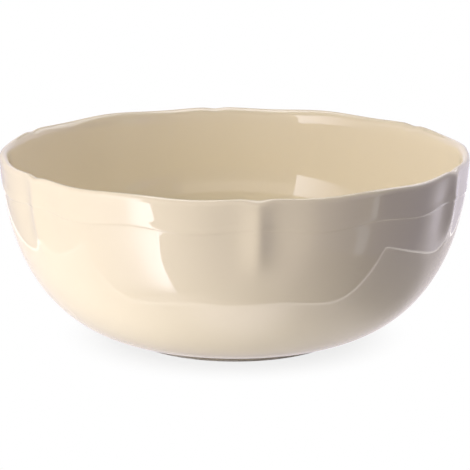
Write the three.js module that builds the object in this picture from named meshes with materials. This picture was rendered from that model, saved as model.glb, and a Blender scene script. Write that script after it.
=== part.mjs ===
// Porcelain serving bowl.
//
// A deep round bowl, pressed over a mould and glazed inside and out. Six soft crests run down
// the outside from small notches in a gently waved rim, and the edge of a raised band follows
// the rim a little way below it. The inside is turned smooth. A low foot ring, luted on with
// slip, carries the bowl on a bare standing face.
//
// Millimetres, +Z up. The origin is the middle of the standing face, and a crest faces -Y.

import * as THREE from "three";

const { lerp, smoothstep } = THREE.MathUtils;

// ---------------------------------------------------------------- driving dimensions

const rimDiameter = 259; // over the lip, between crests
const bowlHeight = 104.4; // standing face to the mean line of the lip
const lipThickness = 4.9; // finished wall just below the lip
const waistThickness = 2.6; // finished wall where it is thinnest
const slimStart = 18; // below the lip, where the wall begins to thin
const waistDepth = 60; // below the lip, where it is thinnest
const floorThickness = 7; // finished floor at the edge of the well
const wellDip = 1.2; // how far the middle of the well lies below its edge

const shoulderPower = 2.36; // how long the wall stays upright before it turns under
const bellyPower = 1.78; // how full the turn towards the foot is
const wallDraft = 8.5; // how much leaner than a plain barrel the wall is

const footDiameter = 120; // over the glazed foot
const footHeight = 3.5; // standing face to the underside of the wall
const footWidth = 5.8; // clay ring where it is luted to the shell
const footChamfer = 0.7; // on both edges of the standing face
const recessRise = 1.4; // how far the underside domes up inside the foot

const lipRun = 1.8; // crown of the lip out to the wall's face
const lipDrop = 3; // height of the lip's outer round
const lipInnerDrop = 4.3; // height of the lip's inner round

const glazeThickness = 0.35; // fired coat
const glazeBond = 0.1; // clearance between the coat and the clay
const bareEdge = 1; // height of the wiped clay above the standing face

const crestCount = 6;
const crestHeading = -90; // degrees, where the first crest points
const crestProud = 4; // crest above the valley line it rises from
const crestWidth = 8.5; // run of each flank
const crestSharpness = 1.4; // 1 falls away straight, 2 falls away in a curve
const crestRound = 0.8; // how far from its middle its top is softened
const valleyDepth = 2.8; // how far the wall is drawn in round a crest
const valleyWidth = 19; // reach of the drawn-in wall to each side
const crestLipShare = 0.6; // how much of the crest is left at the lip
const crestStart = 24; // below the lip, where the crest begins to die away
const crestEnd = 48; // below the lip, where it is gone

const notchDepth = 0.9; // in the rim at each crest
const notchWidth = 5; // half width of that notch
const rimWave = 0.5; // rise and fall of the rim either side of its mean line
const lobeWaves = 2; // waves of the rim and of the band in each lobe

const bandDrop = 16.7; // lip to the band's lower edge
const bandProud = 0.3; // how far that edge stands out
const bandSlope = 4; // run of the slope above the edge
const bandFall = 1.1; // run of the slope below it
const bandWave = 1.3; // rise and fall of that edge
const bandFade = 17; // below the edge, where its wave is gone
const swellProud = 0.5; // soft swelling of the rim midway between crests
const swellWidth = 6.5; // its reach to each side

// ---------------------------------------------------------------- resolution

const flankShares = [0, 0.08, 0.18, 0.3, 0.5, 0.75, 1]; // crest to mid-lobe, closer at the crest
const lipOuterSteps = 3;
const lipInnerSteps = 3;
const wallSteps = 9; // band edge to foot
const insideSteps = 8; // lip to the edge of the well
const wellSteps = 2;

// ---------------------------------------------------------------- derived values

const fullTurn = 2 * Math.PI;
const quarterTurn = fullTurn / 4;
const lobeAngle = fullTurn / crestCount;
const firstCrest = THREE.MathUtils.degToRad(crestHeading);
const rimRadius = rimDiameter / 2;
const footRadius = footDiameter / 2;
const wallDepth = bowlHeight - footHeight;
const floorHeight = footHeight + floorThickness;
const bandFoot = bandDrop + bandFall;
const waveEnd = bandDrop + bandFade;
const clayInset = glazeThickness + glazeBond;
const meridians = headings();

/** Headings of the upright mesh lines, both flanks of every crest. */
function headings() {
  const flank = flankShares.map((share) => (share * lobeAngle) / 2);
  const otherFlank = flank.slice(1, -1).map((angle) => -angle);
  const lobe = [...otherFlank.reverse(), ...flank];
  const crests = Array.from({ length: crestCount }, (_, crest) => firstCrest + crest * lobeAngle);
  return crests.flatMap((crest) => lobe.map((angle) => crest + angle));
}

/** Angle from the nearest crest to a heading. */
function fromCrest(heading) {
  const angle = heading - firstCrest;
  return angle - lobeAngle * Math.round(angle / lobeAngle);
}

// ---------------------------------------------------------------- moulded relief

/** A soft hill, 1 in its middle and nearly gone at twice its reach. */
function hill(run, reach) {
  return Math.exp(-((run / reach) ** 2));
}

/** How far crests and band edge stand out from the plain outside, at a depth below the lip. */
function relief(heading, depth) {
  const run = Math.abs(fromCrest(heading)) * rimRadius;
  const flank = Math.hypot(run, crestRound) - crestRound;
  const ridge = crestProud * Math.exp(-((flank / crestWidth) ** crestSharpness));
  const valley = valleyDepth * hill(run, valleyWidth);
  const growth = lerp(crestLipShare, 1, smoothstep(depth, 0, bandDrop));
  const fade = 1 - smoothstep(depth, crestStart, crestEnd);
  const above = (bandDrop - depth) / bandSlope;
  const below = (depth - bandDrop) / bandFall;
  const bandEdge = bandProud * Math.max(0, 1 - Math.max(above, below));
  const swell = swellProud * hill((lobeAngle / 2) * rimRadius - run, swellWidth);
  const overBand = 1 - smoothstep(depth, bandDrop - bandSlope, bandFoot);
  return (ridge - valley) * growth * fade + swell * overBand + bandEdge;
}

/** How far the rim's waves and notches lift the wall, and outside the waves of the band too. */
function lift(heading, depth, outside) {
  const angle = fromCrest(heading);
  const wave = Math.cos((angle / lobeAngle) * lobeWaves * fullTurn);
  const nearRim = 1 - smoothstep(depth, 0, bandDrop);
  const overBand = 1 - smoothstep(depth, bandDrop, waveEnd);
  const height = outside ? lerp(bandWave, rimWave, nearRim) * overBand : rimWave * nearRim;
  return height * wave - notchDepth * hill(angle * rimRadius, notchWidth) * nearRim;
}

// ---------------------------------------------------------------- the finished section

/** Radius of the plain outside at a depth below the lip. */
function wallRadius(depth) {
  const fall = (depth - lipDrop) / (wallDepth - lipDrop);
  const belly = (1 - fall ** shoulderPower) ** (1 / bellyPower);
  return footRadius + (rimRadius - footRadius) * belly - wallDraft * fall * (1 - fall);
}

/** Thickness of the finished wall at a depth below the lip. */
function wallThickness(depth) {
  const slim = lerp(lipThickness, waistThickness, smoothstep(depth, slimStart, waistDepth));
  return lerp(slim, floorThickness, smoothstep(depth, waistDepth, wallDepth));
}

/** A point of the section; moulded is how much of the relief it carries. */
function point(radius, height, { outside = false, moulded = 0 } = {}) {
  return { radius, height, depth: bowlHeight - height, outside, moulded };
}

/** The outside, from the wiped edge on the foot up to the lip. */
function outsideLine() {
  const depths = [lipDrop, (lipDrop + bandDrop) / 2, bandDrop - bandSlope, bandDrop, bandFoot];
  for (let step = 1; step < wallSteps; step += 1) {
    depths.push(lerp(bandFoot, wallDepth, Math.sin((step / wallSteps) * quarterTurn)));
  }
  const carried = { outside: true, moulded: 1 };
  const wall = depths.map((depth) => point(wallRadius(depth), bowlHeight - depth, carried));
  return [point(footRadius, bareEdge), point(footRadius, footHeight), ...wall.reverse()];
}

/** The lip's outer and inner round, between the outside and the inside. */
function lipLine() {
  const crown = rimRadius - lipRun;
  const innerRun = lipThickness - lipRun;
  const line = [];
  for (let step = 1; step <= lipOuterSteps; step += 1) {
    const turn = (step / lipOuterSteps) * quarterTurn;
    const height = bowlHeight - lipDrop * (1 - Math.sin(turn));
    line.push(point(crown + lipRun * Math.cos(turn), height, { moulded: Math.cos(turn) }));
  }
  for (let step = 1; step < lipInnerSteps; step += 1) {
    const turn = (step / lipInnerSteps) * quarterTurn;
    const depth = lipInnerDrop * (1 - Math.cos(turn));
    const draft = rimRadius - wallRadius(Math.max(depth, lipDrop));
    line.push(point(crown - innerRun * Math.sin(turn) - draft, bowlHeight - depth));
  }
  return line;
}

/** The inside, from the lip down to the middle of the well. */
function insideLine() {
  const outer = [];
  for (let step = 0; step < insideSteps; step += 1) {
    const depth = lerp(lipInnerDrop, wallDepth, Math.sin((step / insideSteps) * quarterTurn));
    outer.push(point(wallRadius(depth), bowlHeight - depth));
  }
  const wall = insetLine(outer.reverse(), (row) => wallThickness(outer[row].depth)).reverse();
  const well = [];
  for (let step = 0; step <= wellSteps; step += 1) {
    const share = 1 - step / wellSteps;
    well.push(point(footRadius * share, floorHeight - wellDip * (1 - share ** 2)));
  }
  return [...wall, ...well].map((row) => point(row.radius, row.height));
}

/** A section line moved by a distance into the material on its left. */
function insetLine(line, distance) {
  const normals = [];
  for (let row = 1; row < line.length; row += 1) {
    const run = line[row].radius - line[row - 1].radius;
    const rise = line[row].height - line[row - 1].height;
    const length = Math.hypot(run, rise);
    normals.push([rise / length, -run / length]);
  }
  return line.map((from, row) => {
    const upright = from.radius === 0 ? [0, 1] : undefined;
    const before = upright ?? normals[Math.max(row - 1, 0)];
    const after = upright ?? normals[Math.min(row, normals.length - 1)];
    const reach = distance(row) / (1 + before[0] * after[0] + before[1] * after[1]);
    const radius = from.radius - reach * (before[0] + after[0]);
    const height = from.height - reach * (before[1] + after[1]);
    return { ...from, radius, height };
  });
}

const skinFace = [...outsideLine(), ...lipLine(), ...insideLine()];
const coatBack = insetLine(skinFace, () => glazeThickness);
const clayFace = insetLine(skinFace, () => clayInset);
const seat = clayFace[1];
const ringInner = seat.radius - footWidth;
const domeHeight = seat.height + recessRise;

// ---------------------------------------------------------------- solids

/** Places a section point at a heading, with the relief and waves it carries. */
function placed(row, heading) {
  if (row.radius === 0) return [0, 0, row.height];
  const out = row.moulded * relief(heading, row.depth);
  const up = lift(heading, row.depth, row.outside);
  const radius = row.radius + out;
  return [radius * Math.cos(heading), radius * Math.sin(heading), row.height + up];
}

/**
 * A closed solid from section rows that run with the material on their left. The rows
 * start and end on the axis or, for a ring, close on themselves.
 */
function turned(rows) {
  const positions = [];
  const indices = [];
  const starts = [];
  for (const row of rows) {
    starts.push(positions.length / 3);
    const around = row.radius === 0 ? [0] : meridians;
    for (const heading of around) positions.push(...placed(row, heading));
  }
  const bands = rows[0].radius > 0 ? rows.length : rows.length - 1;
  for (let band = 0; band < bands; band += 1) {
    const next = (band + 1) % rows.length;
    const rising = rows[next].depth < rows[band].depth;
    for (let side = 0; side < meridians.length; side += 1) {
      const beside = (side + 1) % meridians.length;
      const [a, b] = [starts[band] + side, starts[band] + beside];
      const [c, d] = [starts[next] + beside, starts[next] + side];
      if (rows[band].radius === 0) indices.push(starts[band], c, d);
      else if (rows[next].radius === 0) indices.push(a, b, starts[next]);
      else indices.push(...quad([a, b, c, d], rising === towardsCrest(side)));
    }
  }
  const geometry = new THREE.BufferGeometry();
  geometry.setAttribute("position", new THREE.Float32BufferAttribute(positions, 3));
  geometry.setIndex(indices);
  geometry.computeVertexNormals();
  return geometry;
}

/** Two triangles for a quad, split along its first or its second diagonal. */
function quad([a, b, c, d], first) {
  return first ? [a, b, c, a, c, d] : [a, b, d, b, c, d];
}

/** Whether the facets from one mesh line to the next climb a crest, so flanks mirror. */
function towardsCrest(side) {
  const next = meridians[(side + 1) % meridians.length];
  return Math.abs(fromCrest(next)) < Math.abs(fromCrest(meridians[side]));
}

/** The clay body: underside, seat for the foot ring, outside, lip, inside and well. */
function bowlShell() {
  const underside = [point(0, domeHeight), point(ringInner, seat.height)];
  return turned([...underside, ...clayFace.slice(1)]);
}

/** The ring luted under the shell, with chamfers beside its bare standing face. */
function footRing() {
  return turned([
    point(ringInner + footChamfer, 0),
    point(seat.radius - footChamfer, 0),
    point(seat.radius, footChamfer),
    point(seat.radius, seat.height),
    point(ringInner, seat.height),
    point(ringInner, footChamfer),
  ]);
}

/** The dipped coat: one skin over the foot's side, the outside, the lip and the inside. */
function glazeCoat() {
  return turned([...coatBack.slice().reverse(), ...skinFace]);
}

/** The coat inside the foot: over the domed underside and down the ring's inner side. */
function undersideGlaze() {
  const face = ringInner - clayInset;
  const back = ringInner - glazeBond;
  return turned([
    point(0, domeHeight - clayInset),
    point(face, seat.height - clayInset),
    point(face, bareEdge),
    point(back, bareEdge),
    point(back, seat.height - glazeBond),
    point(0, domeHeight - glazeBond),
  ]);
}

// ---------------------------------------------------------------- materials and scene

const clay = new THREE.MeshStandardMaterial({ color: 0xf1ebe2, roughness: 0.7, metalness: 0 });
const glaze = new THREE.MeshStandardMaterial({ color: 0xf4ead9, roughness: 0.08, metalness: 0 });

/** A named mesh of the bowl. */
function piece(name, geometry, material) {
  const mesh = new THREE.Mesh(geometry, material);
  mesh.name = name;
  return mesh;
}

const bowl = new THREE.Group();
bowl.add(
  piece("bowl_shell", bowlShell(), clay),
  piece("foot_ring", footRing(), clay),
  piece("glaze_coat", glazeCoat(), glaze),
  piece("underside_glaze", undersideGlaze(), glaze),
);

export default bowl;
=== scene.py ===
"""A porcelain serving bowl: pressed over a mould, turned smooth inside, dipped in ivory glaze.

The bowl is four pieces: the clay body, the foot ring luted under it, the coat of glaze over the
outside, lip and inside, and the glaze inside the foot. Each is turned from its own section, and
the mould's crests, notches and raised rim band are pressed into the rings as they are laid.

Metres, +Z up, in the part's own frame: the origin is the middle of the standing face and a
crest faces -Y.
"""

import logging
import math
from collections.abc import Callable
from dataclasses import dataclass
from enum import Enum

import bpy
import numpy as np
from mathutils import Matrix, Vector


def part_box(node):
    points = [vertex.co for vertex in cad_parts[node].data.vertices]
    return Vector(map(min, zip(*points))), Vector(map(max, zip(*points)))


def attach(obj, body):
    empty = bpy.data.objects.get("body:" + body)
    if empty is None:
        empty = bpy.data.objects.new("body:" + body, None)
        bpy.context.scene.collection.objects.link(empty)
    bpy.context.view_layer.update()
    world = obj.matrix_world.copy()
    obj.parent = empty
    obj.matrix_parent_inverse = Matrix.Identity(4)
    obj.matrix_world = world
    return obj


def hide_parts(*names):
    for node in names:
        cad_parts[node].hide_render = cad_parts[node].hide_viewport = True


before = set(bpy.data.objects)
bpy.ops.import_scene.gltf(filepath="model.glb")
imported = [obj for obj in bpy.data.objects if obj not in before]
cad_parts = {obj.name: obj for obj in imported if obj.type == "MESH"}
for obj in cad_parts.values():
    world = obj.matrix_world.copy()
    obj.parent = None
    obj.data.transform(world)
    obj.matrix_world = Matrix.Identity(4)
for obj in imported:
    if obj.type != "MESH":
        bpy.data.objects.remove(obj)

LOG = logging.getLogger("bowl")
MM = 0.001
QUARTER = math.pi / 2

Vec3 = tuple[float, float, float]
Knots = tuple[tuple[float, float], ...]


class Slot(Enum):
    """The record's material slots."""

    BODY = "porcelain_body"
    GLAZE = "ivory_glaze"


class Tint(Enum):
    """Colours of the light in the room."""

    PEARL = (0.95, 0.885, 1.0)
    WHITE = (0.94, 0.915, 1.0)
    WARM = (1.0, 0.88, 0.85)
    GREY = (0.85, 0.9, 1.0)
    BLUE = (0.4, 0.42, 1.0)


def smoothstep(value: np.ndarray, low: float, high: float) -> np.ndarray:
    """Rises smoothly from 0 at low to 1 at high.

    Args:
        value: Where to read the curve.
        low: The end where it is 0.
        high: The end where it is 1.

    Returns:
        The curve's height at each value.
    """
    share = np.clip((value - low) / (high - low), 0, 1)
    return share * share * (3 - 2 * share)


def hill(run: np.ndarray, reach: float) -> np.ndarray:
    """A soft hill, 1 in its middle and nearly gone at twice its reach.

    Args:
        run: Distance from the middle.
        reach: How wide the hill is to each side.

    Returns:
        The hill's height at each run.
    """
    return np.exp(-((run / reach) ** 2))


def blend(low: float, high: float, share: np.ndarray) -> np.ndarray:
    """A value part of the way from low to high.

    Args:
        low: The value at share 0.
        high: The value at share 1.
        share: How far along.

    Returns:
        The value at each share.
    """
    return low + (high - low) * share


@dataclass(frozen=True)
class Mould:
    """The relief that the mould gives the outside, and the waves of the rim."""

    rim_radius: float
    crests: int = 6
    first_crest: float = math.radians(-90)
    crest_proud: float = 4 * MM
    crest_width: float = 8.5 * MM
    crest_sharpness: float = 1.4
    crest_round: float = 0.8 * MM
    valley_depth: float = 2.8 * MM
    valley_width: float = 19 * MM
    lip_share: float = 0.6
    crest_start: float = 24 * MM
    crest_end: float = 48 * MM
    notch_depth: float = 0.9 * MM
    notch_width: float = 5 * MM
    rim_wave: float = 0.5 * MM
    lobe_waves: int = 2
    band_drop: float = 16.7 * MM
    band_proud: float = 0.3 * MM
    band_slope: float = 4 * MM
    band_fall: float = 1.1 * MM
    band_wave: float = 1.3 * MM
    band_fade: float = 17 * MM
    swell_proud: float = 0.5 * MM
    swell_width: float = 6.5 * MM

    @property
    def lobe(self) -> float:
        """The angle from one crest to the next."""
        return 2 * math.pi / self.crests

    @property
    def band_foot(self) -> float:
        """Depth where the band's lower slope meets the wall."""
        return self.band_drop + self.band_fall

    def headings(self, steps: int) -> np.ndarray:
        """Headings of the upright mesh lines, closest together on the crests.

        Args:
            steps: Mesh lines from a crest to the middle of its lobe.

        Returns:
            Headings in order round the bowl.
        """
        flank = (np.arange(steps + 1) / steps) ** 1.5 * self.lobe / 2
        lobe = np.concatenate([-flank[-2:0:-1], flank])
        starts = self.first_crest + self.lobe * np.arange(self.crests)
        return (starts[:, None] + lobe).ravel()

    def from_crest(self, heading: np.ndarray) -> np.ndarray:
        """Angle from the nearest crest to each heading."""
        angle = heading - self.first_crest
        return angle - self.lobe * np.round(angle / self.lobe)

    def relief(self, heading: np.ndarray, depth: np.ndarray) -> np.ndarray:
        """How far crests and band edge stand out from the plain outside.

        Args:
            heading: Directions round the bowl.
            depth: Distance below the lip.

        Returns:
            The height of the relief for each pair.
        """
        run = np.abs(self.from_crest(heading)) * self.rim_radius
        flank = np.hypot(run, self.crest_round) - self.crest_round
        ridge = self.crest_proud * np.exp(-((flank / self.crest_width) ** self.crest_sharpness))
        valley = self.valley_depth * hill(run, self.valley_width)
        growth = blend(self.lip_share, 1, smoothstep(depth, 0, self.band_drop))
        fade = 1 - smoothstep(depth, self.crest_start, self.crest_end)
        above = smoothstep(depth, self.band_drop - self.band_slope, self.band_drop)
        below = 1 - smoothstep(depth, self.band_drop, self.band_foot)
        swell = self.swell_proud * hill(self.lobe * self.rim_radius / 2 - run, self.swell_width)
        over_band = 1 - smoothstep(depth, self.band_drop - self.band_slope, self.band_foot)
        crests = (ridge - valley) * growth * fade
        return crests + swell * over_band + self.band_proud * above * below

    def lift(self, heading: np.ndarray, depth: np.ndarray, outside: np.ndarray) -> np.ndarray:
        """How far the waves and notches of the rim, and the waves of the band, lift the wall.

        Args:
            heading: Directions round the bowl.
            depth: Distance below the lip.
            outside: True for rows on the wall's outer face.

        Returns:
            The rise of the wall for each pair.
        """
        angle = self.from_crest(heading)
        wave = np.cos(angle / self.lobe * self.lobe_waves * 2 * math.pi)
        near_rim = 1 - smoothstep(depth, 0, self.band_drop)
        over_band = 1 - smoothstep(depth, self.band_drop, self.band_drop + self.band_fade)
        outer = blend(self.band_wave, self.rim_wave, near_rim) * over_band
        notch = self.notch_depth * hill(angle * self.rim_radius, self.notch_width)
        return wave * np.where(outside, outer, self.rim_wave * near_rim) - notch * near_rim


@dataclass
class Section:
    """A line across the wall, one entry for each ring of the mesh.

    It runs with the material on its left. moulded is how much of the mould's relief a ring
    carries, and depth is its distance below the lip before any inset.
    """

    radius: np.ndarray
    height: np.ndarray
    depth: np.ndarray
    moulded: np.ndarray
    outside: np.ndarray

    @classmethod
    def plain(
        cls,
        radius: np.ndarray | list[float],
        height: np.ndarray | list[float],
        lip_height: float,
        moulded: np.ndarray | float = 0.0,
        outside: bool = False,
    ) -> "Section":
        """Rows of one kind.

        Args:
            radius: Radius of each ring.
            height: Height of each ring.
            lip_height: Height of the lip, from which depth is measured.
            moulded: Share of the relief that the rings carry.
            outside: True on the wall's outer face.

        Returns:
            The section.
        """
        rings = np.asarray(radius, float)
        up = np.asarray(height, float)
        carried = np.broadcast_to(np.asarray(moulded, float), rings.shape)
        return cls(rings, up, lip_height - up, carried, np.full(rings.shape, outside))

    @classmethod
    def joined(cls, *parts: "Section") -> "Section":
        """Sections laid end to end."""
        names = ("radius", "height", "depth", "moulded", "outside")
        return cls(*(np.concatenate([getattr(part, name) for part in parts]) for name in names))

    def part(self, rows: slice | np.ndarray) -> "Section":
        """Some of the rows, in the order that rows gives."""
        names = ("radius", "height", "depth", "moulded", "outside")
        return Section(*(getattr(self, name)[rows] for name in names))

    def inset(self, distance: float | np.ndarray) -> "Section":
        """The line moved into the material on its left.

        Args:
            distance: How far, the same for all rows or one for each.

        Returns:
            The moved section, whose rows keep their depth and relief.
        """
        run, rise = np.diff(self.radius), np.diff(self.height)
        length = np.hypot(run, rise)
        normals = np.stack([rise / length, -run / length], 1)
        before = np.concatenate([normals[:1], normals])
        after = np.concatenate([normals, normals[-1:]])
        on_axis = self.radius == 0
        before[on_axis] = after[on_axis] = (0, 1)
        reach = distance / (1 + (before * after).sum(1))
        moved = (before + after) * reach[:, None]
        height = self.height - moved[:, 1]
        return Section(
            self.radius - moved[:, 0], height, self.depth, self.moulded, self.outside
        )


@dataclass(frozen=True)
class BowlShape:
    """The finished bowl's section, glaze included."""

    mould: Mould
    height: float
    rim_radius: float
    foot_radius: float
    foot_height: float = 3.5 * MM
    lip_thickness: float = 4.9 * MM
    waist_thickness: float = 2.6 * MM
    slim_start: float = 18 * MM
    waist_depth: float = 60 * MM
    floor: float = 7 * MM
    well_dip: float = 1.2 * MM
    shoulder_power: float = 2.36
    belly_power: float = 1.78
    draft: float = 8.5 * MM
    lip_run: float = 1.8 * MM
    lip_drop: float = 3 * MM
    lip_inner_drop: float = 4.3 * MM
    bare_edge: float = 1 * MM
    glaze: float = 0.35 * MM
    bond: float = 0.1 * MM

    @property
    def wall_depth(self) -> float:
        """Lip to the underside of the wall at the foot."""
        return self.height - self.foot_height

    @property
    def clay_inset(self) -> float:
        """Finished skin to the clay."""
        return self.glaze + self.bond

    def wall_radius(self, depth: np.ndarray) -> np.ndarray:
        """Radius of the plain outside at a depth below the lip.

        Args:
            depth: Depths below the lip.

        Returns:
            The radius at each depth.
        """
        fall = np.clip((depth - self.lip_drop) / (self.wall_depth - self.lip_drop), 0, 1)
        belly = (1 - fall**self.shoulder_power) ** (1 / self.belly_power)
        plain = blend(self.foot_radius, self.rim_radius, belly)
        return plain - self.draft * fall * (1 - fall)

    def wall_thickness(self, depth: np.ndarray) -> np.ndarray:
        """Thickness of the finished wall at a depth below the lip.

        Args:
            depth: Depths below the lip.

        Returns:
            The thickness at each depth.
        """
        slimming = smoothstep(depth, self.slim_start, self.waist_depth)
        slim = blend(self.lip_thickness, self.waist_thickness, slimming)
        return blend(slim, self.floor, smoothstep(depth, self.waist_depth, self.wall_depth))

    def outside(self, detail: int) -> Section:
        """The outside, from the wiped edge on the foot up to the lip.

        Args:
            detail: Rings across the rim band; the wall below has three times as many.

        Returns:
            The section.
        """
        slope_top = self.mould.band_drop - self.mould.band_slope
        rim = np.linspace(self.lip_drop, slope_top, detail, endpoint=False)
        slope = np.linspace(slope_top, self.mould.band_drop, detail // 2, endpoint=False)
        fall = np.linspace(self.mould.band_drop, self.mould.band_foot, detail // 3 + 1)
        turn = np.linspace(0, QUARTER, 3 * detail + 1)[1:-1]
        below = blend(self.mould.band_foot, self.wall_depth, np.sin(turn))
        depth = np.concatenate([rim, slope, fall, below])[::-1]
        lip = self.height
        wall = Section.plain(self.wall_radius(depth), lip - depth, lip, 1.0, outside=True)
        side = [self.bare_edge, self.foot_height]
        foot = Section.plain([self.foot_radius] * 2, side, lip, outside=True)
        return Section.joined(foot, wall)

    def lip(self, detail: int) -> Section:
        """The outer and inner round of the lip, between the outside and the inside.

        Args:
            detail: Rings over each round.

        Returns:
            The section.
        """
        crown = self.rim_radius - self.lip_run
        outer = np.linspace(0, QUARTER, detail + 1)[1:]
        inner = np.linspace(0, QUARTER, detail + 1)[1:-1]
        over = Section.plain(
            crown + self.lip_run * np.cos(outer),
            self.height - self.lip_drop * (1 - np.sin(outer)),
            self.height,
            np.cos(outer),
        )
        in_run = self.lip_thickness - self.lip_run
        drop = self.lip_inner_drop * (1 - np.cos(inner))
        draft = self.rim_radius - self.wall_radius(drop)
        radius = crown - in_run * np.sin(inner) - draft
        return Section.joined(over, Section.plain(radius, self.height - drop, self.height))

    def inside(self, detail: int) -> Section:
        """The inside, from the lip to the middle of the well.

        Args:
            detail: Rings down the wall.

        Returns:
            The section.
        """
        turn = np.linspace(0, QUARTER, detail + 1)[:-1]
        falls = blend(self.lip_inner_drop, self.wall_depth, np.sin(turn))
        depth = np.append(falls, self.wall_depth)
        outer = Section.plain(self.wall_radius(depth), self.height - depth, self.height)
        outer = outer.part(slice(None, None, -1))
        wall = outer.inset(self.wall_thickness(outer.depth)).part(slice(None, 0, -1))
        spread = np.linspace(1, 0, detail // 4 + 2)
        well_height = self.foot_height + self.floor - self.well_dip * (1 - spread**2)
        return Section.joined(
            Section.plain(wall.radius, wall.height, self.height),
            Section.plain(self.foot_radius * spread, well_height, self.height),
        )

    def skin(self, detail: int) -> Section:
        """The whole finished skin, from the wiped edge over the lip to the middle of the well."""
        return Section.joined(self.outside(detail), self.lip(detail // 2), self.inside(2 * detail))


def turned_mesh(name: str, section: Section, mould: Mould, steps: int) -> bpy.types.Object:
    """Lays the rings of a section round the axis and closes them into a solid.

    Args:
        name: The piece's name.
        section: Rows that start and end on the axis or, for a ring, close on themselves.
        mould: The relief and waves that the rings take.
        steps: Mesh lines from a crest to the middle of its lobe.

    Returns:
        The piece, linked to the scene.
    """
    headings = mould.headings(steps)
    around = len(headings)
    angle, depth = np.meshgrid(headings, section.depth)
    relief = section.moulded[:, None] * mould.relief(angle, depth)
    radius = section.radius[:, None] + relief
    height = section.height[:, None] + mould.lift(angle, depth, section.outside[:, None])
    points = np.stack([radius * np.cos(angle), radius * np.sin(angle), height], -1)
    is_ring = section.radius[0] > 0
    verts: list[Vec3] = []
    starts: list[int] = []
    for row, ring in zip(section.radius, points, strict=True):
        starts.append(len(verts))
        verts.extend(map(tuple, ring) if row > 0 else [(0.0, 0.0, float(ring[0, 2]))])
    if not is_ring:
        verts[0] = (0.0, 0.0, float(section.height[0]))
        verts[-1] = (0.0, 0.0, float(section.height[-1]))
    faces: list[tuple[int, ...]] = []
    rows = len(starts)
    for row in range(rows if is_ring else rows - 1):
        here, there = starts[row], starts[(row + 1) % rows]
        for side in range(around):
            beside = (side + 1) % around
            if not is_ring and row == 0:
                faces.append((here, there + beside, there + side))
            elif not is_ring and row == rows - 2:
                faces.append((here + side, here + beside, there))
            else:
                faces.append((here + side, here + beside, there + beside, there + side))
    mesh = bpy.data.meshes.new(name)
    mesh.from_pydata(verts, [], faces)
    mesh.polygons.foreach_set("use_smooth", [True] * len(mesh.polygons))
    mesh.update()
    piece = bpy.data.objects.new(name, mesh)
    bpy.context.scene.collection.objects.link(piece)
    return piece


class NodeTree:
    """A node tree and short ways to fill it."""

    def __init__(self, tree: bpy.types.NodeTree) -> None:
        """Starts on an empty tree.

        Args:
            tree: The material's, world's or group's tree.
        """
        self.tree = tree
        self.tree.nodes.clear()

    def add(self, kind: str, **settings: object) -> bpy.types.Node:
        """A new node.

        Args:
            kind: The node's type, such as "ShaderNodeMix".
            settings: Its properties.

        Returns:
            The node.
        """
        node = self.tree.nodes.new(kind)
        for key, value in settings.items():
            setattr(node, key, value)
        return node

    def link(self, start: bpy.types.NodeSocket, end: bpy.types.NodeSocket) -> None:
        """Joins an output to an input."""
        self.tree.links.new(start, end)

    def mixed(
        self,
        share: bpy.types.NodeSocket,
        first: bpy.types.NodeSocket,
        second: bpy.types.NodeSocket,
    ) -> bpy.types.NodeSocket:
        """Two shaders mixed by a share of the second.

        Args:
            share: How much of the second there is.
            first: The shader where the share is 0.
            second: The shader where the share is 1.

        Returns:
            The mixed shader.
        """
        mix = self.add("ShaderNodeMixShader")
        for start, end in zip((share, first, second), mix.inputs, strict=True):
            self.link(start, end)
        return mix.outputs[0]

    def looked_at(self) -> bpy.types.NodeSocket:
        """1 for rays that look at a surface, straight, in a gloss or through glass.

        Returns:
            The output that says so.
        """
        path = self.add("ShaderNodeLightPath")
        gloss = self.add("ShaderNodeMath", operation="MAXIMUM")
        self.link(path.outputs["Is Camera Ray"], gloss.inputs[0])
        self.link(path.outputs["Is Glossy Ray"], gloss.inputs[1])
        glass = self.add("ShaderNodeMath", operation="MAXIMUM")
        self.link(gloss.outputs[0], glass.inputs[0])
        self.link(path.outputs["Is Transmission Ray"], glass.inputs[1])
        return glass.outputs[0]

    def noise(self, where: bpy.types.NodeSocket, scale: float, detail: float) -> bpy.types.Node:
        """Noise read at a place.

        Args:
            where: The coordinates to read it at.
            scale: Grains to the metre.
            detail: How many finer layers it has.

        Returns:
            The noise node.
        """
        node = self.add("ShaderNodeTexNoise")
        node.inputs["Scale"].default_value = scale
        node.inputs["Detail"].default_value = detail
        self.link(where, node.inputs["Vector"])
        return node


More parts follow.
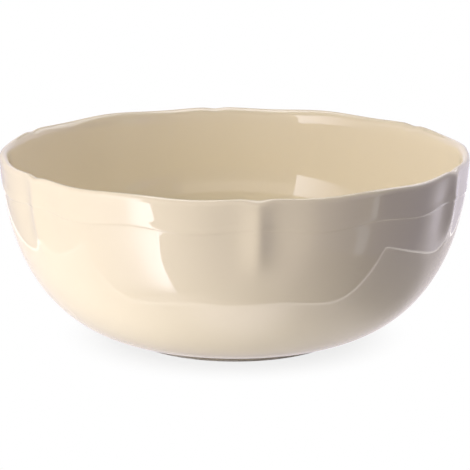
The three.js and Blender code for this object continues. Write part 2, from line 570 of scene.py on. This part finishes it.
def mottle_group() -> bpy.types.NodeTree:
    """The fired colour of clay or glaze: a tone that drifts a little over the piece.

    Returns:
        A group that takes the colour, the amount of drift and its scale, and gives the colour.
    """
    name = "Fired tone"
    if name in bpy.data.node_groups:
        return bpy.data.node_groups[name]
    group = bpy.data.node_groups.new(name, "ShaderNodeTree")
    face = group.interface
    face.new_socket("Colour", in_out="INPUT", socket_type="NodeSocketColor")
    face.new_socket("Drift", in_out="INPUT", socket_type="NodeSocketFloat")
    face.new_socket("Scale", in_out="INPUT", socket_type="NodeSocketFloat")
    face.new_socket("Colour", in_out="OUTPUT", socket_type="NodeSocketColor")
    nodes = NodeTree(group)
    given = nodes.add("NodeGroupInput")
    made = nodes.add("NodeGroupOutput")
    place = nodes.add("ShaderNodeTexCoord")
    drift = nodes.noise(place.outputs["Object"], 1.0, 2.0)
    nodes.link(given.outputs["Scale"], drift.inputs["Scale"])
    centred = nodes.add("ShaderNodeMath", operation="SUBTRACT")
    centred.inputs[1].default_value = 0.5
    nodes.link(drift.outputs["Fac"], centred.inputs[0])
    factor = nodes.add("ShaderNodeMath", operation="MULTIPLY_ADD")
    factor.inputs[2].default_value = 1.0
    nodes.link(centred.outputs[0], factor.inputs[0])
    nodes.link(given.outputs["Drift"], factor.inputs[1])
    scaled = nodes.add("ShaderNodeVectorMath", operation="SCALE")
    nodes.link(given.outputs["Colour"], scaled.inputs[0])
    nodes.link(factor.outputs[0], scaled.inputs["Scale"])
    nodes.link(scaled.outputs[0], made.inputs["Colour"])
    return group


@dataclass(frozen=True)
class IvoryGlaze:
    """Clear-fired ivory glaze: glossy, with the faintest drift of tone."""

    name: str = "Ivory glaze"
    colour: Vec3 = (0.85, 0.772, 0.56)
    drift: float = 0.04
    drift_scale: float = 9.0
    roughness: float = 0.04
    ior: float = 1.52

    def material(self) -> bpy.types.Material:
        """Builds the finish.

        Returns:
            The material.
        """
        made = bpy.data.materials.new(self.name)
        made.use_nodes = True
        nodes = NodeTree(made.node_tree)
        tone = nodes.add("ShaderNodeGroup", node_tree=mottle_group())
        tone.inputs["Colour"].default_value = (*self.colour, 1)
        tone.inputs["Drift"].default_value = self.drift
        tone.inputs["Scale"].default_value = self.drift_scale
        surface = nodes.add("ShaderNodeBsdfPrincipled")
        surface.inputs["Roughness"].default_value = self.roughness
        surface.inputs["IOR"].default_value = self.ior
        out = nodes.add("ShaderNodeOutputMaterial")
        nodes.link(tone.outputs["Colour"], surface.inputs["Base Color"])
        nodes.link(surface.outputs["BSDF"], out.inputs["Surface"])
        return made


@dataclass(frozen=True)
class BarePorcelain:
    """Fired clay without glaze: warm white, matte, with a fine grain."""

    name: str = "Bare porcelain"
    colour: Vec3 = (0.80, 0.76, 0.68)
    drift: float = 0.10
    drift_scale: float = 60.0
    roughness: float = 0.6
    grain_scale: float = 2500.0
    grain_height: float = 0.02 * MM

    def material(self) -> bpy.types.Material:
        """Builds the finish.

        Returns:
            The material.
        """
        made = bpy.data.materials.new(self.name)
        made.use_nodes = True
        nodes = NodeTree(made.node_tree)
        tone = nodes.add("ShaderNodeGroup", node_tree=mottle_group())
        tone.inputs["Colour"].default_value = (*self.colour, 1)
        tone.inputs["Drift"].default_value = self.drift
        tone.inputs["Scale"].default_value = self.drift_scale
        place = nodes.add("ShaderNodeTexCoord")
        grain = nodes.noise(place.outputs["Object"], self.grain_scale, 2.0)
        bump = nodes.add("ShaderNodeBump")
        bump.inputs["Distance"].default_value = self.grain_height
        nodes.link(grain.outputs["Fac"], bump.inputs["Height"])
        surface = nodes.add("ShaderNodeBsdfPrincipled")
        surface.inputs["Roughness"].default_value = self.roughness
        out = nodes.add("ShaderNodeOutputMaterial")
        nodes.link(tone.outputs["Colour"], surface.inputs["Base Color"])
        nodes.link(bump.outputs["Normal"], surface.inputs["Normal"])
        nodes.link(surface.outputs["BSDF"], out.inputs["Surface"])
        return made


@dataclass
class Bowl:
    """The four pieces of the bowl, made to the sizes of the part they stand for."""

    shape: BowlShape
    ring_radius: float
    seat_height: float
    ring_width: float = 5.8 * MM
    recess_rise: float = 1.4 * MM
    ring_round: float = 0.7 * MM
    steps: int = 24
    detail: int = 16

    @classmethod
    def fitted(cls) -> "Bowl":
        """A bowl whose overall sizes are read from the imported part.

        Returns:
            The bowl.
        """
        coat_low, coat_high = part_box("glaze_coat")
        ring_low, ring_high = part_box("foot_ring")
        ring_radius = (ring_high[0] - ring_low[0]) / 2
        swell, wave = Mould.swell_proud, Mould.rim_wave
        rim_radius = (coat_high[0] - coat_low[0]) / 2 - swell
        inset = BowlShape.glaze + BowlShape.bond
        shape = BowlShape(
            mould=Mould(rim_radius=rim_radius),
            height=coat_high[2] - wave,
            rim_radius=rim_radius,
            foot_radius=ring_radius + inset,
        )
        return cls(shape, ring_radius, ring_high[2])

    @property
    def ring_inner(self) -> float:
        """Inner radius of the clay ring."""
        return self.ring_radius - self.ring_width

    def shell(self) -> bpy.types.Object:
        """The clay body: underside, seat for the ring, outside, lip, inside and well.

        Returns:
            The piece.
        """
        detail = self.detail // 2
        clay = self.shape.skin(detail).inset(self.shape.clay_inset).part(slice(2, None))
        lip = self.shape.height
        underside = Section.plain(
            [0, self.ring_inner, self.ring_radius],
            [self.seat_height + self.recess_rise, self.seat_height, self.seat_height],
            lip,
        )
        whole = Section.joined(underside, clay)
        return turned_mesh("bowl_body", whole, self.shape.mould, self.steps // 2)

    def ring(self) -> bpy.types.Object:
        """The foot ring, its edges softened beside the bare standing face.

        Returns:
            The piece.
        """
        soft = np.linspace(0, QUARTER, 5)
        outer_round = self.ring_radius - self.ring_round * (1 - np.sin(soft))
        inner_round = self.ring_inner + self.ring_round * (1 - np.cos(soft))
        outer_rise = self.ring_round * (1 - np.cos(soft))
        inner_rise = self.ring_round * (1 - np.sin(soft))
        section = Section.plain(
            np.concatenate([outer_round, [self.ring_radius, self.ring_inner], inner_round]),
            np.concatenate([outer_rise, [self.seat_height] * 2, inner_rise]),
            self.shape.height,
        )
        return turned_mesh("clay_foot", section, self.shape.mould, self.steps // 2)

    def coat(self) -> bpy.types.Object:
        """The dipped coat over the foot's side, the outside, the lip and the inside.

        Returns:
            The piece.
        """
        skin = self.shape.skin(self.detail)
        back = skin.inset(self.shape.glaze).part(slice(None, None, -1))
        whole = Section.joined(back, skin)
        return turned_mesh("glaze_skin", whole, self.shape.mould, self.steps)

    def underside(self) -> bpy.types.Object:
        """The coat inside the foot: the domed underside and the ring's inner side.

        Returns:
            The piece.
        """
        shape = self.shape
        face, back = self.ring_inner - shape.clay_inset, self.ring_inner - shape.bond
        middle = self.seat_height + self.recess_rise
        spread = np.linspace(0, 1, 9)
        dome = middle - self.recess_rise * spread
        radius = np.concatenate([face * spread, [face, back], back * spread[::-1]])
        height = np.concatenate(
            [dome - shape.clay_inset, [shape.bare_edge] * 2, dome[::-1] - shape.bond]
        )
        section = Section.plain(radius, height, shape.height)
        return turned_mesh("foot_glaze", section, shape.mould, self.steps // 2)

    def build(self) -> dict[str, bpy.types.Object]:
        """Makes the pieces, finishes them and sets each in place of its plain solid.

        Returns:
            The pieces by the name of the part's node that each stands for.
        """
        finishes = {Slot.BODY: BarePorcelain().material(), Slot.GLAZE: IvoryGlaze().material()}
        plan: dict[str, tuple[Callable[[], bpy.types.Object], Slot]] = {
            "bowl_shell": (self.shell, Slot.BODY),
            "foot_ring": (self.ring, Slot.BODY),
            "glaze_coat": (self.coat, Slot.GLAZE),
            "underside_glaze": (self.underside, Slot.GLAZE),
        }
        made = {}
        for node, (make, slot) in plan.items():
            piece = make()
            piece.data.materials.append(finishes[slot])
            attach(piece, "root")
            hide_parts(node)
            made[node] = piece
        return made


def stage_piece(
    name: str,
    points: list[Vec3],
    faces: list[tuple[int, ...]],
    finish: bpy.types.Material,
) -> bpy.types.Object:
    """Makes a piece of the stage from its points and faces.

    Args:
        name: What it is called.
        points: Its corners.
        faces: The corners of each face.
        finish: Its material.

    Returns:
        The piece, linked to the scene.
    """
    mesh = bpy.data.meshes.new(name)
    mesh.from_pydata(points, [], faces)
    mesh.materials.append(finish)
    piece = bpy.data.objects.new(name, mesh)
    bpy.context.scene.collection.objects.link(piece)
    return piece


def lamp_finish(name: str, tint: Vec3, strength: float) -> bpy.types.Material:
    """A plain lit surface.

    Args:
        name: What it is called.
        tint: The light's colour.
        strength: How bright it is, 1 being white.

    Returns:
        The material.
    """
    made = bpy.data.materials.new(name)
    made.use_nodes = True
    nodes = NodeTree(made.node_tree)
    glow = nodes.add("ShaderNodeEmission")
    glow.inputs["Color"].default_value = (*tint, 1)
    glow.inputs["Strength"].default_value = strength
    out = nodes.add("ShaderNodeOutputMaterial")
    nodes.link(glow.outputs[0], out.inputs["Surface"])
    return made


def hide(piece: bpy.types.Object, mirrored_only: bool) -> None:
    """Keeps a piece of the studio out of the camera's sight.

    Args:
        piece: The piece.
        mirrored_only: Whether it's only mirrored in the glaze, and lights and shades nothing.
    """
    piece.visible_camera = False
    if mirrored_only:
        piece.visible_diffuse = False
        piece.visible_shadow = False


@dataclass(frozen=True)
class Wall:
    """A ring of the room's wall whose brightness runs from bearing to bearing.

    Bearings are in degrees from the camera's side, positive to its right. foot_share is how
    much of its light is left at its lower edge.
    """

    name: str
    foot: float
    top: float
    brightness: Knots
    tints: tuple[tuple[float, Tint], ...]
    foot_share: float = 1.0
    reach: float = 0.8
    mirrored_only: bool = False
    step: float = 4.0

    def light(self, bearings: np.ndarray) -> np.ndarray:
        """The wall's red, green and blue at each bearing.

        Args:
            bearings: Degrees from the camera's side.

        Returns:
            A row of three channels for each bearing.
        """
        strength = np.interp(bearings, *zip(*self.brightness, strict=True))
        places, tints = zip(*self.tints, strict=True)
        channels = zip(*(tint.value for tint in tints), strict=True)
        tint = [np.interp(bearings, places, channel) for channel in channels]
        return strength[:, None] * np.stack(tint, -1)

    def finish(self) -> bpy.types.Material:
        """A lit surface whose colour is stored with the mesh.

        Returns:
            The material.
        """
        made = bpy.data.materials.new(self.name)
        made.use_nodes = True
        nodes = NodeTree(made.node_tree)
        shade = nodes.add("ShaderNodeAttribute", attribute_name="light")
        glow = nodes.add("ShaderNodeEmission")
        nodes.link(shade.outputs["Color"], glow.inputs["Color"])
        out = nodes.add("ShaderNodeOutputMaterial")
        nodes.link(glow.outputs[0], out.inputs["Surface"])
        return made

    def build(self, turn: Matrix) -> bpy.types.Object:
        """Makes the ring, out of the camera's sight.

        Args:
            turn: The studio's turn about the bowl.

        Returns:
            The ring.
        """
        even = np.arange(-180, 180 + self.step / 2, self.step)
        bearings = np.unique(np.concatenate([even, [place for place, _ in self.brightness]]))
        points = [
            (self.reach * math.sin(each), -self.reach * math.cos(each), height)
            for each in np.radians(bearings)
            for height in (self.foot, self.top)
        ]
        faces = [(i, i + 2, i + 3, i + 1) for i in range(0, len(points) - 2, 2)]
        wall = stage_piece(self.name, points, faces, self.finish())
        light = self.light(bearings)
        colours = np.stack([light * self.foot_share, light], axis=1).reshape(-1, 3)
        full = np.concatenate([colours, np.ones((len(colours), 1))], axis=1)
        shades = wall.data.attributes.new("light", "FLOAT_COLOR", "POINT")
        shades.data.foreach_set("color", full.ravel())
        wall.matrix_world = turn
        hide(wall, self.mirrored_only)
        return wall


@dataclass(frozen=True)
class Room:
    """The round room: a tall softbox on the left, a dim right side and a pale screen behind.

    Each line of knots gives the light's strength at bearings in degrees.
    """

    floor: float = -1.6
    ceiling: float = 1.4
    left_back: Knots = ((-180, 1.0), (-165, 0.9), (-150, 0.65), (-125, 0.45))
    softbox_side: Knots = ((-100, 0.4), (-82, 0.45), (-74, 0.65), (-66, 1.0), (-58, 1.5))
    softbox_core: Knots = ((-52, 2.4), (-47, 4.4), (-42, 6.2), (-37.2, 7.6))
    camera_side: Knots = ((-37, 0.3), (-28, 0.25), (-18, 0.2), (-8, 0.15), (4, 0.3), (12, 0.4))
    beside_camera: float = 0.45
    dim_right: Knots = ((34, 0.25), (61, 0.25))
    slit: Knots = ((62, 1.2), (67, 1.2), (68, 0.25))
    screen: Knots = ((102, 0.25), (106, 0.45), (112, 0.7), (118, 1.1), (122, 1.4), (140, 1.3))
    back: Knots = ((150, 1.0), (180, 1.0))
    high_far: Knots = ((-100, 0.4), (-82, 0.5))
    high_softbox: Knots = ((-74, 0.8), (-66, 1.5), (-58, 2.7), (-52, 3.5), (-47, 4.4), (-37.2, 6.0))
    over_camera: Knots = ((-37, 0.6), (30, 0.6), (40, 0.25))
    tall_left: Knots = ((-180, 1.0), (-160, 1.0), (-150, 1.1), (-85, 1.1))
    tall_front: Knots = ((-37, 1.5), (0, 1.5), (30, 1.3), (40, 0.25), (98, 0.25), (104, 1.45))
    top_left: Knots = ((-180, 1.0), (-150, 1.2), (-148, 1.65), (-82, 1.65), (-78, 1.3), (-38, 1.3))
    top_front: Knots = ((-36, 0.3), (30, 0.25), (38, 0.2), (98, 0.2), (104, 1.6), (145, 1.5))
    low_left: Knots = ((-180, 0), (-84, 0.05), (-78, 0.9), (-30, 0.8), (-12, 0.5), (2, 0.3))
    low_right: Knots = ((20, 0), (180, 0))
    tints: tuple[tuple[float, Tint], ...] = (
        (-180, Tint.PEARL),
        (-60, Tint.PEARL),
        (-45, Tint.WHITE),
        (-37.2, Tint.WHITE),
        (-37, Tint.WARM),
        (33, Tint.WARM),
        (34, Tint.BLUE),
        (58, Tint.BLUE),
        (60, Tint.GREY),
        (70, Tint.GREY),
        (72, Tint.BLUE),
        (102, Tint.BLUE),
        (110, Tint.PEARL),
        (180, Tint.PEARL),
    )
    foot_share: float = 0.15
    lip_band: Knots = ((100, 0), (104, 3.3), (150, 3.3), (165, 0))
    lip_band_foot: float = 0.45
    lip_band_top: float = 1.3
    lip_band_reach: float = 0.78

    def lip_lines(self) -> Wall:
        """The band behind on the right that only the glaze of the lip mirrors.

        Returns:
            The band.
        """
        return Wall(
            "lip band",
            self.lip_band_foot,
            self.lip_band_top,
            self.lip_band,
            ((-180, Tint.WHITE), (180, Tint.WHITE)),
            reach=self.lip_band_reach,
            mirrored_only=True,
        )

    def rings(self) -> list[Wall]:
        """The wall's rings from the lowest to the highest.

        Returns:
            The rings.
        """
        softbox = self.left_back + self.softbox_side + self.softbox_core
        front = softbox + self.camera_side + ((33, self.beside_camera),)
        beyond = self.slit + self.screen + self.back
        high = self.left_back + self.high_far + self.high_softbox
        upper = self.tall_left + self.high_softbox + self.tall_front
        plan = [
            ("lower wall", -0.98, self.low_left + self.low_right, 1.0),
            ("softbox foot", -0.7, front + ((34, 0), (180, 0)), self.foot_share),
            ("table height", -0.4, front + ((34, 0), (180, 0)), 1.0),
            ("middle wall", 0.1, front + self.dim_right + beyond, 1.0),
            ("eye height", 0.3, high + self.over_camera + beyond, 1.0),
            ("upper wall", 0.5, upper + self.back, 1.0),
            ("top of the wall", self.ceiling, self.top_left + self.top_front + self.back, 1.0),
        ]
        feet = [self.floor] + [top for _, top, _, _ in plan[:-1]]
        return [
            Wall(name, foot, top, brightness, self.tints, share)
            for foot, (name, top, brightness, share) in zip(feet, plan, strict=True)
        ]

    def build(self, turn: Matrix) -> None:
        """Makes the rings and the band for the lip.

        Args:
            turn: The studio's turn about the bowl.
        """
        for ring in (*self.rings(), self.lip_lines()):
            ring.build(turn)


@dataclass(frozen=True)
class Panel:
    """A level square of light above or below the bowl."""

    name: str
    height: float
    half: float
    strength: float
    tint: Vec3 = (0.95, 0.95, 0.88)
    mirrored_only: bool = False

    def build(self, turn: Matrix) -> bpy.types.Object:
        """Makes the panel, out of the camera's sight.

        Args:
            turn: The studio's turn about the bowl.

        Returns:
            The panel.
        """
        corners = [(-1, -1), (1, -1), (1, 1), (-1, 1)]
        points = [(self.half * x, self.half * y, self.height) for x, y in corners]
        finish = lamp_finish(self.name, self.tint, self.strength)
        panel = stage_piece(self.name, points, [(0, 1, 2, 3)], finish)
        panel.matrix_world = turn
        hide(panel, self.mirrored_only)
        return panel


@dataclass(frozen=True)
class Pool:
    """A round pool on the table that fades out from its middle: painted light or shade, or the
    blend that lets the bowl's shadow show at the foot.
    """

    centre: Vec3
    close: float
    far: float
    most: float

    def mask(self, nodes: NodeTree) -> bpy.types.NodeSocket:
        """Its strength at each point.

        Args:
            nodes: The table's nodes.

        Returns:
            The output with the strength.
        """
        place = nodes.add("ShaderNodeTexCoord")
        away = nodes.add("ShaderNodeVectorMath", operation="DISTANCE")
        nodes.link(place.outputs["Object"], away.inputs[0])
        away.inputs[1].default_value = self.centre
        fall = nodes.add("ShaderNodeMapRange", interpolation_type="SMOOTHSTEP")
        limits = {"From Min": self.close, "From Max": self.far, "To Min": self.most, "To Max": 0.0}
        for name, value in limits.items():
            fall.inputs[name].default_value = value
        nodes.link(away.outputs["Value"], fall.inputs["Value"])
        return fall.outputs[0]


@dataclass(frozen=True)
class Table:
    """The white table top, bowed out in front of the bowl, and a glowing edge strip that only the
    glaze mirrors, a painted reflection.
    """

    half_width: float = 0.206
    back: float = 0.35
    front: float = -0.105
    bow: float = 0.033
    bow_reach: float = 0.07
    bow_power: int = 4
    front_steps: int = 48
    # The edge strip glows and lights nothing: a painted reflection of a lit table edge.
    edge_share: float = 0.975
    edge_rise: float = 0.2 * MM
    edge_tint: Vec3 = (1.0, 0.95, 0.95)
    edge_strength: float = 2.2
    colour: Vec3 = (0.6, 0.6, 0.6)
    mirrored_tint: Vec3 = (0.98, 0.9, 0.93)
    # Painted glow: the table gives off light to every ray but the camera's, in place of light
    # bounced off it.
    glow: float = 0.55
    # Near the foot the camera sees part of the lit table: the bowl's real shadow, plus a painted
    # ring of shade from the blend.
    foot_shadow: Pool = Pool((0, 0, 0), 0.06, 0.1, 0.18)
    # Painted shade: the table's glow fades out under the bowl round its foot.
    painted_foot_shade: Pool = Pool((0, 0, 0), 0.065, 0.15, 1.0)
    # Painted shade on the table to the bowl's right, in its glow and in what the glaze mirrors.
    painted_shade_side: Pool = Pool((0.165, -0.075, 0), 0.05, 0.1, 1.0)
    # Painted reflection: a brighter patch in front of the bowl, seen only in the glaze.
    painted_reflected_spot: Pool = Pool((0.005, -0.145, 0), 0.02, 0.06, 1.4)

    def outline(self) -> list[tuple[float, float]]:
        """The corners of the table top, in order.

        Returns:
            Their places across and along the table.
        """
        across = np.linspace(-self.half_width, self.half_width, self.front_steps + 1)
        bow = self.bow * np.exp(-((across / self.bow_reach) ** self.bow_power))
        front = zip(across.tolist(), (self.front - bow).tolist(), strict=True)
        return [(self.half_width, self.back), (-self.half_width, self.back), *front]

    def painted_bounce_glow(self, nodes: NodeTree) -> bpy.types.NodeSocket:
        """Painted glow in place of the light the table throws back, with painted shade round the
        foot and on the dim side.

        Args:
            nodes: The table's nodes.

        Returns:
            The output with its strength.
        """
        shaded = nodes.add("ShaderNodeMath", operation="MAXIMUM")
        nodes.link(self.painted_foot_shade.mask(nodes), shaded.inputs[0])
        nodes.link(self.painted_shade_side.mask(nodes), shaded.inputs[1])
        free = nodes.add("ShaderNodeMath", operation="MULTIPLY_ADD")
        free.inputs[1].default_value = -self.glow
        free.inputs[2].default_value = self.glow
        nodes.link(shaded.outputs[0], free.inputs[0])
        return free.outputs[0]

    def finish(self) -> bpy.types.Material:
        """White to look at, with the bowl's real shadow at its foot and a painted ring of shade
        from the blend; other rays see a painted glow, and the glaze a painted bright patch and
        painted shade on the dim side.

        Returns:
            The material.
        """
        made = bpy.data.materials.new("white table")
        made.use_nodes = True
        nodes = NodeTree(made.node_tree)
        top = nodes.add("ShaderNodeBsdfDiffuse")
        top.inputs["Color"].default_value = (*self.colour, 1)
        # The painted glow, seen by all rays but the camera's.
        glow = nodes.add("ShaderNodeEmission")
        nodes.link(self.painted_bounce_glow(nodes), glow.inputs["Strength"])
        lit = nodes.add("ShaderNodeAddShader")
        nodes.link(top.outputs[0], lit.inputs[0])
        nodes.link(glow.outputs[0], lit.inputs[1])
        # What the glaze mirrors: the pale table, with a painted bright patch in front.
        gloss = nodes.add("ShaderNodeEmission")
        gloss.inputs["Color"].default_value = (*self.mirrored_tint, 1)
        brighter = nodes.add("ShaderNodeMath", operation="ADD")
        brighter.inputs[1].default_value = 1.0
        nodes.link(self.painted_reflected_spot.mask(nodes), brighter.inputs[0])
        nodes.link(brighter.outputs[0], gloss.inputs["Strength"])
        white = nodes.add("ShaderNodeEmission")
        seen = nodes.mixed(self.foot_shadow.mask(nodes), white.outputs[0], top.outputs[0])
        # Painted shade: on the dim side the mirrored table turns to the grey lit table.
        mirrored = nodes.mixed(self.painted_shade_side.mask(nodes), gloss.outputs[0], top.outputs[0])
        indirect = nodes.mixed(nodes.looked_at(), lit.outputs[0], mirrored)
        path = nodes.add("ShaderNodeLightPath")
        out = nodes.add("ShaderNodeOutputMaterial")
        shown = nodes.mixed(path.outputs["Is Camera Ray"], indirect, seen)
        nodes.link(shown, out.inputs["Surface"])
        return made

    def build(self, turn: Matrix) -> None:
        """Makes the table top and its glowing edge strip, a painted reflection that only the glaze
        shows.

        Args:
            turn: The studio's turn about the bowl.
        """
        corners = self.outline()
        count = len(corners)
        points = [(x, y, 0.0) for x, y in corners]
        top = stage_piece("table", points, [tuple(range(count))], self.finish())
        outer = [(x, y, self.edge_rise) for x, y in corners]
        inner = [(self.edge_share * x, self.edge_share * y, self.edge_rise) for x, y in corners]
        sides = [(i, (i + 1) % count, (i + 1) % count + count, i + count) for i in range(count)]
        finish = lamp_finish("painted table edge reflection", self.edge_tint, self.edge_strength)
        edge = stage_piece("painted table edge reflection", outer + inner, sides, finish)
        hide(edge, mirrored_only=True)
        for piece in (top, edge):
            piece.matrix_world = turn


@dataclass(frozen=True)
class Camera:
    """Where the picture is taken from."""

    elevation: float = math.radians(11.45)
    distance: float = 1.3536
    lens: float = 187.5
    shift_x: float = 0.0005
    shift_y: float = -0.1817
    roll: float = math.radians(0.2)
    sight: float = 50.0

    def build(self, aim: Vector, turn: Matrix) -> bpy.types.Object:
        """Sets the scene's camera.

        Args:
            aim: The point it looks at.
            turn: The studio's turn about the bowl.

        Returns:
            The camera.
        """
        data = bpy.data.cameras.new("camera")
        data.lens = self.lens
        data.shift_x = self.shift_x
        data.shift_y = self.shift_y
        data.clip_end = self.sight
        camera = bpy.data.objects.new("camera", data)
        bpy.context.scene.collection.objects.link(camera)
        away = Vector((0, -math.cos(self.elevation), math.sin(self.elevation)))
        spin = Matrix.Rotation(self.roll, 4, "Z")
        look = (-away).to_track_quat("-Z", "Y").to_matrix().to_4x4()
        stand = Matrix.Translation(away * self.distance)
        camera.matrix_world = Matrix.Translation(aim) @ turn @ stand @ look @ spin
        bpy.context.scene.camera = camera
        return camera


@dataclass(frozen=True)
class Studio:
    """The table, the room and its lamps, and the camera, all turned together."""

    turn: float = math.radians(-5.4)
    room: Room = Room()
    table: Table = Table()
    camera: Camera = Camera()
    room_half: float = 0.85
    ceiling_strength: float = 0.1
    lamp_height: float = 1.35
    lamp_half: float = 0.35
    lamp_strength: float = 2.2
    lip_light_height: float = 1.3
    lip_light_half: float = 0.5
    lip_light_strength: float = 5.0

    def panels(self) -> list[Panel]:
        """The ceiling, its lamp, the light that the lip mirrors and the dark floor.

        Returns:
            The panels.
        """
        return [
            Panel("ceiling", self.room.ceiling, self.room_half, self.ceiling_strength),
            Panel("overhead lamp", self.lamp_height, self.lamp_half, self.lamp_strength),
            Panel(
                "lip light",
                self.lip_light_height,
                self.lip_light_half,
                self.lip_light_strength,
                Tint.WHITE.value,
                mirrored_only=True,
            ),
            Panel("floor", self.room.floor, self.room_half, 0.0),
        ]

    def world(self) -> None:
        """A white room to look at, and no light from it beyond the panels."""
        world = bpy.data.worlds.new("room")
        bpy.context.scene.world = world
        world.use_nodes = True
        nodes = NodeTree(world.node_tree)
        seen = nodes.add("ShaderNodeBackground")
        seen.inputs["Color"].default_value = (1, 1, 1, 1)
        unseen = nodes.add("ShaderNodeBackground")
        unseen.inputs["Color"].default_value = (0, 0, 0, 1)
        out = nodes.add("ShaderNodeOutputWorld")
        shown = nodes.mixed(nodes.looked_at(), unseen.outputs[0], seen.outputs[0])
        nodes.link(shown, out.inputs["Surface"])

    def build(self, aim: Vector) -> None:
        """Sets the table, the lights, the camera and the plain view settings.

        Args:
            aim: The point the camera looks at.
        """
        turn = Matrix.Rotation(self.turn, 4, "Z")
        self.world()
        self.table.build(turn)
        for panel in self.panels():
            panel.build(turn)
        self.room.build(turn)
        self.camera.build(aim, turn)
        bpy.context.scene.view_settings.view_transform = "Standard"


def main() -> None:
    """Builds the bowl and the studio."""
    logging.basicConfig(level=logging.INFO, format="%(name)s: %(message)s")
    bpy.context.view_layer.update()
    bowl = Bowl.fitted()
    for node, piece in bowl.build().items():
        LOG.info("%s: %d faces, for %s", piece.name, len(piece.data.polygons), node)
    Studio().build(Vector((0, 0, bowl.shape.height)))


if __name__ == "__main__":
    main()
